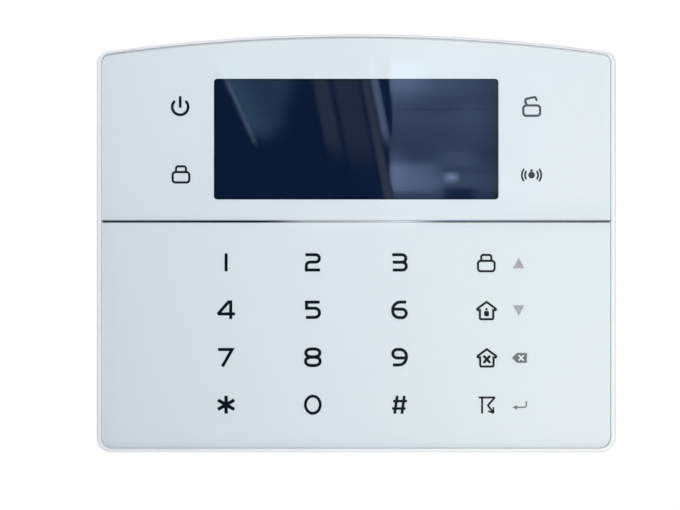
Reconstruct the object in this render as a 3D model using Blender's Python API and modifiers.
"""Wall-hung alarm keypad panel: touch face, display, case, boards and the bracket that it hangs on.

Metres, +Z up. The wall is the plane y = 0 and the face looks along -Y. A depth is a distance from the
wall, so the material at depth d lies at y = -d. The origin is the middle of the bracket's back face.
"""

import math

import bmesh
import bpy

# The face, seen from the front.
WIDTH = 0.190
HEIGHT = 0.153
CROWN_RADIUS = 0.664
BOTTOM_CORNER = 0.0051
TOP_CORNER = 0.0042
RIM_SIDE = 0.0016
RIM_BOTTOM = 0.0013
RIM_TOP = 0.0008
FIT = 0.0001

# Depths from the wall, and wall thicknesses.
COVER_BACK = 0.0008
RECESS_FLOOR = 0.0048
COVER_WALL = 0.0020
SIDE_WALL = 0.0022
COVER_FRONT = 0.0130
HOUSING_BACK = 0.0133
DECK_BACK = 0.0198
DECK_FRONT = 0.0224
RIM_FRONT = 0.0248
FACE = 0.0250
LENS_BACK = 0.0238
STRIP_BACK = 0.0235
FILM_BACK = 0.02305
FILM_FRONT = 0.02335
TAPE_BACK = 0.0226
TAPE_FRONT = 0.0229
GLASS_BACK = 0.0211
GLASS_FRONT = 0.0229
MAIN_BACK = 0.0142
MAIN_FRONT = 0.0158
TOUCH_BACK = 0.0180
TOUCH_FRONT = 0.0195

# The display and the strip under it.
WINDOW_Z = 0.0382
WINDOW_WIDTH = 0.1044
WINDOW_HEIGHT = 0.0443
WINDOW_CORNER = 0.0012
GLASS_MARGIN = 0.0020
STRIP_Z = 0.0080
STRIP_HEIGHT = 0.0008
STRIP_THICKNESS = 0.00015
STATUS_X = 0.0642
STATUS_Z = (0.0500, 0.0251)

# The bracket, its hooks and how far the panel lifts off them.
BRACKET_WIDTH = 0.132
BRACKET_HEIGHT = 0.100
BRACKET_THICKNESS = 0.0020
LIFT = 0.010
HOOK_X = 0.058
HOOK_Z = (0.022, -0.034)
HOOK_WIDTH = 0.0032
HOOK_STEM = 0.0030
HOOK_LIP_BACK = 0.0073
HOOK_LIP_FRONT = 0.0093

# The tamper switch: its plunger follows a ramp on the bracket as the panel lifts.
TAMPER_Z = 0.0
TAMPER_TRAVEL = 0.0015
RAMP_TOP = 0.0039
RAMP_GAP = 0.00035

# The sockets and fasteners.
SOCKET_DEPTH = 0.0084
JACK_Z = -0.047
SWITCH_Z = -0.031
SWITCH_TRAVEL = 0.003
SLIDER_HEIGHT = 0.0030
SLIDER_PROUD = 0.0003
CASE_SCREWS = [(-0.084, -0.066), (0.084, -0.066), (-0.084, 0.060), (0.084, 0.060)]
BOARD_SCREWS = [(-0.070, -0.058), (0.070, -0.058), (-0.070, 0.038), (0.070, 0.038)]
SPEAKER_X = -0.034

WELD = 0.000001
FACING_OUT = (math.pi / 2, 0, 0)
FACING_SIDE = (math.pi / 2, 0, -math.pi / 2)


# Shapes. Each one is made as a hidden helper, which as_part turns into a part of the panel.


def helper(name, data, location=(0, 0, 0), rotation=(0, 0, 0)):
    obj = bpy.data.objects.new(name, data)
    obj.location = location
    obj.rotation_euler = rotation
    obj.hide_render = True
    obj.display_type = "WIRE"
    cutters.objects.link(obj)
    return obj


def meshed(curve):
    """A mesh object in place of a curve object, with its caps welded on."""
    bpy.context.view_layer.update()
    graph = bpy.context.evaluated_depsgraph_get()
    mesh = bpy.data.meshes.new_from_object(curve.evaluated_get(graph))
    shape = bmesh.new()
    shape.from_mesh(mesh)
    bmesh.ops.remove_doubles(shape, verts=shape.verts, dist=WELD)
    bmesh.ops.recalc_face_normals(shape, faces=shape.faces)
    shape.to_mesh(mesh)
    shape.free()
    solid = helper(curve.name, mesh)
    solid.matrix_world = curve.matrix_world.copy()
    bpy.data.objects.remove(curve)
    return solid


def extruded(outlines, thickness, location, rotation, edge=0.0):
    """A flat shape from closed outlines, the later ones being holes, with its edges rounded by edge."""
    data = bpy.data.curves.new("outline", "CURVE")
    data.dimensions = "2D"
    data.fill_mode = "BOTH"
    data.extrude = thickness / 2 - edge
    data.bevel_depth = edge
    data.bevel_resolution = 2
    data.offset = -edge
    for outline in outlines:
        spline = data.splines.new("POLY")
        spline.points.add(len(outline) - 1)
        for point, (across, up) in zip(spline.points, outline):
            point.co = (across, up, 0, 1)
        spline.use_cyclic_u = True
    return meshed(helper("outline", data, location, rotation))


def slab(outlines, near, far, edge=0.0):
    """Outlines in X and Z, between two depths."""
    return extruded(outlines, far - near, (0, -(near + far) / 2, 0), FACING_OUT, edge)


def rib(profile, x, width):
    """A profile of (depth, z) points, extruded along X."""
    return extruded([profile], width, (x, 0, 0), FACING_SIDE)


def block(x, z, width, height, near, far):
    mesh = bpy.data.meshes.new("block")
    shape = bmesh.new()
    bmesh.ops.create_cube(shape, size=1)
    bmesh.ops.scale(shape, vec=(width, far - near, height), verts=shape.verts)
    shape.to_mesh(mesh)
    shape.free()
    return helper("block", mesh, (x, -(near + far) / 2, z))


def cylinder(radius, length, location, rotation, steps):
    mesh = bpy.data.meshes.new("rod")
    shape = bmesh.new()
    bmesh.ops.create_cone(
        shape, cap_ends=True, segments=steps, radius1=radius, radius2=radius, depth=length
    )
    shape.to_mesh(mesh)
    shape.free()
    return helper("rod", mesh, location, rotation)


def rod(x, z, radius, near, far, steps=14):
    """A cylinder along Y, between two depths."""
    return cylinder(radius, far - near, (x, -(near + far) / 2, z), FACING_OUT, steps)


def side_rod(z, depth, radius, left, right, steps=20):
    """A cylinder along X."""
    place = ((left + right) / 2, -depth, z)
    return cylinder(radius, right - left, place, (0, math.pi / 2, 0), steps)


def turned(profile, x, z, steps=16, ring=False):
    """A profile of (radius, depth) points turned about Y; it runs from the front of the shape to its back."""
    mesh = bpy.data.meshes.new("profile")
    count = len(profile)
    edges = [(i, i + 1) for i in range(count - 1)] + ([(count - 1, 0)] if ring else [])
    mesh.from_pydata([(radius, 0, depth) for radius, depth in profile], edges, [])
    obj = helper("turned", mesh, (x, 0, z), FACING_OUT)
    screw = obj.modifiers.new("turn", "SCREW")
    screw.steps = steps
    screw.render_steps = steps
    screw.use_merge_vertices = True
    screw.merge_threshold = WELD
    return obj


def wire(points, radius, resolution=2):
    data = bpy.data.curves.new("wire", "CURVE")
    data.dimensions = "3D"
    data.bevel_depth = radius
    data.bevel_resolution = resolution
    data.use_fill_caps = True
    spline = data.splines.new("POLY")
    spline.points.add(len(points) - 1)
    for point, place in zip(spline.points, points):
        point.co = (*place, 1)
    return helper("wire", data)


def booleaned(target, operation, others):
    """Cuts the other helpers from the target, or joins them to it."""
    group = bpy.data.collections.new(operation.lower())
    cutters.children.link(group)
    for other in others:
        cutters.objects.unlink(other)
        group.objects.link(other)
    modifier = target.modifiers.new(operation.lower(), "BOOLEAN")
    modifier.operation = operation
    modifier.operand_type = "COLLECTION"
    modifier.collection = group
    modifier.solver = "EXACT"
    modifier.show_viewport = False
    modifier.show_render = False
    return target


def cut(target, *others):
    return booleaned(target, "DIFFERENCE", others)


def join(target, *others):
    return booleaned(target, "UNION", others)


def as_part(obj, name, body, colour, roughness, metallic=0.0):
    """Makes a helper a part of the panel, with its own name, body and material."""
    obj.name = name
    obj.hide_render = False
    obj.display_type = "TEXTURED"
    cutters.objects.unlink(obj)
    panel_parts.objects.link(obj)
    obj.parent = bodies[body]
    obj.matrix_parent_inverse = bodies[body].matrix_world.inverted()
    finish = bpy.data.materials.new(name)
    finish.use_nodes = True
    shader = finish.node_tree.nodes["Principled BSDF"]
    shader.inputs["Base Color"].default_value = (*colour, 1)
    shader.inputs["Roughness"].default_value = roughness
    shader.inputs["Metallic"].default_value = metallic
    obj.data.materials.clear()
    obj.data.materials.append(finish)
    if obj.type == "MESH":
        obj.data.shade_smooth()
        obj.data.set_sharp_from_angle(angle=math.radians(35))
    return obj


# Outlines, as lists of (x, z) points.


def arc(x, z, radius, start, end, steps):
    turns = [start + (end - start) * i / steps for i in range(steps + 1)]
    return [(x + radius * math.cos(a), z + radius * math.sin(a)) for a in turns]


def rounded(x, z, width, height, radius, steps=4):
    """A rectangle with round corners."""
    points = []
    for quarter, (side, end) in enumerate([(1, -1), (1, 1), (-1, 1), (-1, -1)]):
        corner_x = x + side * (width / 2 - radius)
        corner_z = z + end * (height / 2 - radius)
        start = (quarter - 1) * math.pi / 2
        points += arc(corner_x, corner_z, radius, start, start + math.pi / 2, steps)
    return points


def face_outline(side, bottom, top, bottom_corner, top_corner, steps=8, crown_steps=24):
    """The face's outline, drawn in by the given amounts: straight sides and base, and a crowned top."""
    half = WIDTH / 2 - side
    crown_z = HEIGHT / 2 - CROWN_RADIUS
    reach = CROWN_RADIUS - top
    corner_x = half - top_corner
    corner_z = crown_z + math.sqrt((reach - top_corner) ** 2 - corner_x**2)
    turn = math.atan2(corner_z - crown_z, corner_x)
    base_x = half - bottom_corner
    base_z = -HEIGHT / 2 + bottom + bottom_corner
    right = arc(base_x, base_z, bottom_corner, -math.pi / 2, 0, steps)
    right += arc(corner_x, corner_z, top_corner, 0, turn, steps)
    crown = arc(0, crown_z, reach, turn, math.pi - turn, crown_steps)[1:-1]
    left = [(-x, z) for x, z in reversed(right)]
    return right + crown + left


def inset(amount, corner):
    """The case's own outline, drawn in evenly, for surfaces inside it."""
    return face_outline(amount, amount, amount, corner, corner, steps=4, crown_steps=10)


def silhouette():
    return face_outline(0, 0, 0, BOTTOM_CORNER, TOP_CORNER)


def under_lens(amount):
    """The lens's outline, drawn in evenly."""
    side = RIM_SIDE + FIT + amount
    bottom = RIM_BOTTOM + FIT + amount
    top = RIM_TOP + FIT + amount
    return face_outline(side, bottom, top, 0.0040, 0.0034)


# The wall bracket.


def hook(x, z):
    """A blade that stands off the bracket and turns up behind the rear cover's wall."""
    top = z + LIFT
    profile = [
        (BRACKET_THICKNESS / 2, z),
        (HOOK_LIP_FRONT, z),
        (HOOK_LIP_FRONT, top - 0.001),
        (HOOK_LIP_FRONT - 0.001, top),
        (HOOK_LIP_BACK, top),
        (HOOK_LIP_BACK, z + HOOK_STEM),
        (BRACKET_THICKNESS / 2, z + HOOK_STEM),
    ]
    return rib(profile, x, HOOK_WIDTH)


def ramp():
    """Falls away from the tamper plunger's place at rest by its travel, over the panel's lift."""
    profile = [
        (BRACKET_THICKNESS / 2, TAMPER_Z - 0.004),
        (RAMP_TOP, TAMPER_Z - 0.004),
        (RAMP_TOP, TAMPER_Z),
        (RAMP_TOP - TAMPER_TRAVEL, TAMPER_Z + LIFT),
        (BRACKET_THICKNESS / 2, TAMPER_Z + LIFT + 0.002),
    ]
    return rib(profile, 0, 0.008)


def wall_bracket():
    outlines = [rounded(0, 0, BRACKET_WIDTH, BRACKET_HEIGHT, 0.006)]
    for side in (-1, 1):
        outlines.append(rounded(side * 0.032, 0, 0.036, 0.052, 0.004))
        for end in (-1, 1):
            outlines.append(rounded(side * 0.040, end * 0.040, 0.0044, 0.009, 0.0021, steps=3))
    plate = slab(outlines, 0, BRACKET_THICKNESS)
    hooks = [hook(side * HOOK_X, z) for side in (-1, 1) for z in HOOK_Z]
    join(plate, ramp(), *hooks)
    as_part(plate, "wall_bracket", "bracket", (0.78, 0.79, 0.80), 0.5)


# The case.


def front_housing():
    shell = slab([silhouette()], HOUSING_BACK, RIM_FRONT, edge=0.0006)
    pocket_corners = (0.0041, 0.0035)
    pocket = slab(
        [face_outline(RIM_SIDE, RIM_BOTTOM, RIM_TOP, *pocket_corners)], DECK_FRONT, FACE + 0.001
    )
    cavity = slab([inset(SIDE_WALL, 0.0022)], HOUSING_BACK - 0.001, DECK_BACK)
    opening = rounded(0, WINDOW_Z, 0.1152, 0.0552, 0.001, steps=2)
    display = slab([opening], DECK_BACK - 0.001, DECK_FRONT + 0.001)
    wells = [
        rod(side * STATUS_X, z, 0.0032, DECK_BACK - 0.001, DECK_FRONT + 0.001)
        for side in (-1, 1)
        for z in STATUS_Z
    ]
    cut(shell, pocket, cavity, display, *wells)
    posts = [rod(x, z, 0.0034, 0.0084, DECK_BACK + 0.0005) for x, z in CASE_SCREWS]
    posts += [rod(x, z, 0.0026, MAIN_FRONT + 0.0002, DECK_BACK + 0.0005) for x, z in BOARD_SCREWS]
    join(shell, *posts)
    pilots = [rod(x, z, 0.00145, 0.008, 0.0175, steps=10) for x, z in CASE_SCREWS]
    pilots += [rod(x, z, 0.00125, 0.0155, 0.0190, steps=10) for x, z in BOARD_SCREWS]
    cut(shell, *pilots)
    as_part(shell, "front_housing", "panel", (0.86, 0.87, 0.87), 0.35)


def hook_slot(x, z):
    """Lets the hook's lip through when the panel is lifted, and hangs on its stem when it is down."""
    low = z - LIFT - 0.0004
    high = z + HOOK_STEM + 0.00035
    return block(x, (low + high) / 2, 0.0039, high - low, 0.002, 0.009)


def grille():
    """Sound slots over the speaker, cut to a round field."""
    slots = []
    for row in range(-3, 4):
        offset = row * 0.004
        length = 2 * math.sqrt(0.0145**2 - offset**2)
        slots.append(block(SPEAKER_X + offset, 0, 0.0016, length, 0.002, 0.009))
    return slots


def rear_cover():
    shell = slab([silhouette()], COVER_BACK, COVER_FRONT, edge=0.0006)
    inner_back = COVER_BACK + COVER_WALL
    cut(shell, slab([inset(SIDE_WALL, 0.0022)], inner_back, COVER_FRONT + 0.001))
    recess_width = BRACKET_WIDTH + 0.0016
    recess_height = BRACKET_HEIGHT + LIFT + 0.0016
    recess = rounded(0, -LIFT / 2, recess_width, recess_height, 0.0065)
    surround = rounded(
        0, -LIFT / 2, recess_width + 2 * COVER_WALL, recess_height + 2 * COVER_WALL, 0.0085
    )
    shelf = slab([inset(0.0015, 0.0025), inset(0.0037, 0.0012)], 0.0110, 0.0125)
    lip = slab([inset(0.0025, 0.0020), inset(0.0037, 0.0012)], 0.0118, 0.0145)
    towers = [rod(x, z, 0.0042, 0.0015, 0.0080, steps=20) for x, z in CASE_SCREWS]
    join(shell, slab([surround], 0.0015, RECESS_FLOOR + COVER_WALL), shelf, lip, *towers)
    cuts = [slab([recess], 0, RECESS_FLOOR)]
    cuts += [hook_slot(side * HOOK_X, z) for side in (-1, 1) for z in HOOK_Z]
    cuts += [rod(x, z, 0.0033, 0, 0.0046, steps=20) for x, z in CASE_SCREWS]
    cuts += [rod(x, z, 0.0017, 0.004, 0.009) for x, z in CASE_SCREWS]
    cuts += [block(0.005 * i - 0.0275, 0.0625, 0.0016, 0.008, 0, 0.004) for i in range(12)]
    cuts += [rod(0, TAMPER_Z, 0.0020, 0.004, 0.008)]
    cuts += [side_rod(JACK_Z, SOCKET_DEPTH, 0.0036, 0.0915, 0.0960)]
    slot_height = SLIDER_HEIGHT + SWITCH_TRAVEL + 0.0006
    cuts += [block(0.0938, SWITCH_Z, 0.0045, slot_height, 0.0068, 0.0100)]
    cuts += [block(0.0919, -0.0375, 0.0019, 0.033, 0.0108, 0.0150)]
    cut(shell, *cuts, *grille())
    as_part(shell, "rear_cover", "panel", (0.84, 0.85, 0.85), 0.45)


def case_screws():
    head = [(0, 0.0165), (0.0009, 0.0165), (0.0012, 0.0160), (0.0012, 0.0043), (0.0029, 0.0043)]
    head += [(0.0029, 0.0032), (0.0022, 0.0025), (0, 0.0023)]
    for number, (x, z) in enumerate(CASE_SCREWS, 1):
        screw = turned(head, x, z)
        slots = [block(x, z, 0.0030, 0.0007, 0.0018, 0.0033)]
        slots += [block(x, z, 0.0007, 0.0030, 0.0018, 0.0033)]
        cut(screw, *slots)
        as_part(screw, f"case_screw_{number}", "panel", (0.32, 0.32, 0.33), 0.35, 1.0)


def rear_label():
    label = slab([rounded(0, -0.0696, 0.044, 0.008, 0.0008, steps=2)], 0.00045, 0.0006)
    as_part(label, "blank_label", "panel", (0.90, 0.90, 0.90), 0.4)


# The face: lens, strip, print and adhesive.


def face_sheets():
    lens = slab([under_lens(0)], LENS_BACK, FACE, edge=0.0003)
    as_part(lens, "front_lens", "panel", (0.88, 0.91, 0.93), 0.05)
    window = rounded(0, WINDOW_Z, WINDOW_WIDTH, WINDOW_HEIGHT, WINDOW_CORNER, steps=3)
    film = slab([under_lens(0.00005), window], FILM_BACK, FILM_FRONT)
    as_part(film, "graphic_film", "panel", (0.80, 0.84, 0.87), 0.3)
    strip_width = WIDTH - 2 * RIM_SIDE - 0.0008
    strip_front = STRIP_BACK + STRIP_THICKNESS
    strip = block(0, STRIP_Z, strip_width, STRIP_HEIGHT, STRIP_BACK, strip_front)
    as_part(strip, "mirror_strip", "panel", (0.8, 0.8, 0.8), 0.08, 1.0)
    adhesive = slab([under_lens(0.0008), under_lens(0.0060)], TAPE_BACK, TAPE_FRONT)
    as_part(adhesive, "lens_adhesive", "panel", (0.15, 0.15, 0.16), 0.7)


# The display module.


def display_module():
    width = WINDOW_WIDTH + 2 * GLASS_MARGIN
    height = WINDOW_HEIGHT + 2 * GLASS_MARGIN
    glass = block(0, WINDOW_Z, width, height, GLASS_BACK, GLASS_FRONT)
    as_part(glass, "display_glass", "panel", (0.02, 0.05, 0.10), 0.08)
    backlight = block(0, WINDOW_Z, width, height, 0.0178, GLASS_BACK - 0.0003)
    as_part(backlight, "display_backlight", "panel", (0.75, 0.80, 0.85), 0.3)
    outer = rounded(0, WINDOW_Z, width + 0.005, height + 0.005, 0.0008, steps=2)
    inner = rounded(0, WINDOW_Z, width + 0.0008, height + 0.0008, 0.0005, steps=2)
    frame = slab([outer, inner], 0.0175, GLASS_FRONT - 0.0002)
    as_part(frame, "display_frame", "panel", (0.55, 0.56, 0.57), 0.3, 1.0)
    upper = [(0.0172, 0.024), (0.0172, 0.016), (0.0164, 0.011), (0.0164, 0.004)]
    lower = [(depth - 0.0002, z) for depth, z in reversed(upper)]
    as_part(rib(upper + lower, 0, 0.040), "display_flex", "panel", (0.75, 0.45, 0.15), 0.4)


# The boards and what is on them.


def boards():
    main = slab([rounded(0, -0.007, 0.180, 0.106, 0.003, steps=2)], MAIN_BACK, MAIN_FRONT)
    cut(main, *[rod(x, z, 0.0014, 0.013, 0.017, steps=10) for x, z in BOARD_SCREWS])
    as_part(main, "main_board", "panel", (0.03, 0.20, 0.08), 0.4)
    touch = slab([rounded(0, -0.0035, 0.158, 0.131, 0.003, steps=2)], TOUCH_BACK, TOUCH_FRONT)
    holes = [rod(x, z, 0.0032, 0.017, 0.021) for x, z in BOARD_SCREWS]
    cut(touch, block(0, 0.0402, 0.116, 0.060, 0.017, 0.021), *holes)
    as_part(touch, "touch_board", "panel", (0.85, 0.85, 0.83), 0.4)


def board_screws():
    head = [(0, 0.0185), (0.0008, 0.0185), (0.0010, 0.0181), (0.0010, 0.0139), (0.0024, 0.0139)]
    head += [(0.0024, 0.0130), (0.0018, 0.0124), (0, 0.0122)]
    for number, (x, z) in enumerate(BOARD_SCREWS, 1):
        screw = turned(head, x, z, steps=12)
        as_part(screw, f"board_screw_{number}", "panel", (0.6, 0.6, 0.6), 0.3, 1.0)


def status_lights():
    places = [(side * STATUS_X, z) for side in (-1, 1) for z in STATUS_Z]
    for number, (x, z) in enumerate(places, 1):
        light = block(x, z, 0.0032, 0.0028, TOUCH_FRONT + 0.0002, 0.0208)
        as_part(light, f"status_light_{number}", "panel", (0.9, 0.9, 0.75), 0.3)


def chips():
    black = (0.03, 0.03, 0.03)
    sizes = {
        "main_chip": (0.000, -0.030, 0.012, 0.012, 0.0160, 0.0173),
        "board_connector": (0.040, -0.050, 0.022, 0.005, 0.0160, 0.01785),
        "touch_chip": (0.000, -0.050, 0.010, 0.0075, 0.0166, 0.0178),
        "battery_plug": (0.030, 0.036, 0.008, 0.006, 0.0095, 0.0140),
    }
    for name, size in sizes.items():
        as_part(block(*size), name, "panel", black, 0.5)
    can = [(0, 0.0140), (0.0040, 0.0140), (0.0040, 0.0060), (0.0035, 0.0055), (0, 0.0055)]
    as_part(turned(can, 0.074, -0.012, steps=20), "capacitor", "panel", (0.08, 0.09, 0.14), 0.3)


def radio():
    module = block(-0.040, -0.032, 0.022, 0.018, 0.0160, 0.0168)
    as_part(module, "radio_module", "panel", (0.02, 0.12, 0.25), 0.4)
    shield = block(-0.040, -0.032, 0.017, 0.014, 0.01695, 0.01785)
    cut(shield, block(-0.040, -0.032, 0.016, 0.013, 0.0160, 0.01755))
    as_part(shield, "radio_shield", "panel", (0.7, 0.7, 0.7), 0.3, 1.0)
    turns, steps = 5, 8
    radius = 0.0025
    points = [(0.030, -0.0136, 0.0435), (0.030, -0.0110, 0.0500)]
    for i in range(turns * steps + 1):
        turn = 2 * math.pi * i / steps
        across = 0.030 + 0.022 * i / (turns * steps)
        points.append((across, -0.0095 + radius * math.sin(turn), 0.057 - radius * math.cos(turn)))
    antenna = wire(points, 0.00035)
    as_part(antenna, "radio_antenna", "panel", (0.7, 0.5, 0.2), 0.3, 1.0)


def speaker():
    dish = [(0.0102, 0.0103), (0.0130, 0.0100), (0.0165, 0.0083), (0.0180, 0.0083)]
    dish += [(0.0180, 0.0071), (0.0160, 0.0071), (0.0155, 0.0078), (0.0126, 0.0092)]
    dish += [(0.0102, 0.0094)]
    frame = turned(dish, SPEAKER_X, 0, steps=28, ring=True)
    as_part(frame, "speaker_frame", "panel", (0.1, 0.1, 0.1), 0.5)
    profile = [(0, 0.0089), (0.005, 0.0089), (0.0150, 0.0075)]
    profile += [(0.0150, 0.0072), (0.005, 0.0085), (0, 0.0085)]
    cone = turned(profile, SPEAKER_X, 0, steps=28)
    as_part(cone, "speaker_cone", "panel", (0.06, 0.06, 0.06), 0.8)
    magnet = rod(SPEAKER_X, 0, 0.009, 0.0106, 0.0136, steps=24)
    as_part(magnet, "speaker_magnet", "panel", (0.5, 0.5, 0.5), 0.4, 1.0)


def backup_battery():
    pack = slab([rounded(0.030, 0, 0.040, 0.052, 0.003, steps=3)], 0.0072, 0.0134, edge=0.0012)
    as_part(pack, "backup_battery", "panel", (0.15, 0.35, 0.65), 0.4)
    lead = [(0.030, -0.0105, 0.0263), (0.0302, -0.0106, 0.0282), (0.0308, -0.0109, 0.0300)]
    lead += [(0.0306, -0.0113, 0.0315), (0.030, -0.0115, 0.0327)]
    as_part(wire(lead, 0.0009), "battery_lead", "panel", (0.6, 0.03, 0.03), 0.4)


def power_inlet():
    jack = block(0.0859, JACK_Z, 0.0130, 0.009, 0.0042, 0.0139)
    bore = side_rod(JACK_Z, SOCKET_DEPTH, 0.0030, 0.0825, 0.0930)
    cut(jack, bore)
    join(jack, side_rod(JACK_Z, SOCKET_DEPTH, 0.0010, 0.0820, 0.0915, steps=12))
    as_part(jack, "power_jack", "panel", (0.04, 0.04, 0.04), 0.45)


# The moving switches.


def power_switch():
    housing = block(0.08815, SWITCH_Z, 0.0083, 0.014, 0.0052, 0.0139)
    travel_slot = SLIDER_HEIGHT + SWITCH_TRAVEL + 0.0006
    cut(housing, block(0.0905, SWITCH_Z, 0.0050, travel_slot, 0.0069, 0.0099))
    as_part(housing, "switch_housing", "panel", (0.55, 0.56, 0.58), 0.4, 1.0)
    inner_end = 0.0885
    end = WIDTH / 2 + SLIDER_PROUD
    low = SWITCH_Z - SWITCH_TRAVEL / 2
    middle = (inner_end + end) / 2
    slider = block(middle, low, end - inner_end, SLIDER_HEIGHT, 0.0072, 0.0096)
    grooves = [block(end, low + step * 0.0009, 0.0006, 0.0004, 0.006, 0.011) for step in (-1, 0, 1)]
    cut(slider, *grooves)
    as_part(slider, "switch_slider", "slider", (0.04, 0.04, 0.04), 0.5)


def tamper_switch():
    housing = block(0, TAMPER_Z, 0.007, 0.007, 0.0108, 0.0140)
    cut(housing, rod(0, TAMPER_Z, 0.0019, 0.0100, 0.0134))
    as_part(housing, "tamper_switch", "panel", (0.05, 0.05, 0.06), 0.5)
    tip = RAMP_TOP + RAMP_GAP
    profile = [(0, 0.0129), (0.0016, 0.0129), (0.0016, 0.0093), (0.0027, 0.0093), (0.0027, 0.0086)]
    profile += [(0.0016, 0.0086), (0.0016, tip + 0.0009), (0.0013, tip + 0.0004)]
    profile += [(0.0007, tip + 0.0001), (0, tip)]
    as_part(turned(profile, 0, TAMPER_Z), "tamper_plunger", "plunger", (0.7, 0.1, 0.05), 0.4)
    turns, steps = 2, 12
    coil = []
    for i in range(turns * steps + 1):
        turn = 2 * math.pi * i / steps
        depth = 0.0096 + 0.0009 * i / (turns * steps)
        coil.append((0.0022 * math.cos(turn), -depth, TAMPER_Z + 0.0022 * math.sin(turn)))
    as_part(wire(coil, 0.00015), "tamper_spring", "panel", (0.7, 0.7, 0.7), 0.3, 1.0)


for leftover in list(bpy.data.objects):
    bpy.data.objects.remove(leftover)

panel_parts = bpy.data.collections.new("alarm_keypad_panel")
cutters = bpy.data.collections.new("cutters")
bodies = {
    "bracket": bpy.data.objects.new("bracket_body", None),
    "panel": bpy.data.objects.new("panel_body", None),
    "plunger": bpy.data.objects.new("plunger_axis", None),
    "slider": bpy.data.objects.new("slider_axis", None),
}
bodies["plunger"].location = (0, 0, TAMPER_Z)
bodies["slider"].location = (WIDTH / 2, -SOCKET_DEPTH, SWITCH_Z - SWITCH_TRAVEL / 2)
for group in (panel_parts, cutters):
    bpy.context.scene.collection.children.link(group)
for empty in bodies.values():
    panel_parts.objects.link(empty)
for moving in ("plunger", "slider"):
    bodies[moving].parent = bodies["panel"]
bpy.context.view_layer.update()

wall_bracket()
front_housing()
rear_cover()
case_screws()
rear_label()
face_sheets()
display_module()
boards()
board_screws()
status_lights()
chips()
radio()
speaker()
backup_battery()
power_inlet()
power_switch()
tamper_switch()

# The Booleans are switched on last, so that they are worked out only once.
for solid in bpy.data.objects:
    for step in solid.modifiers:
        step.show_viewport = True
        step.show_render = True
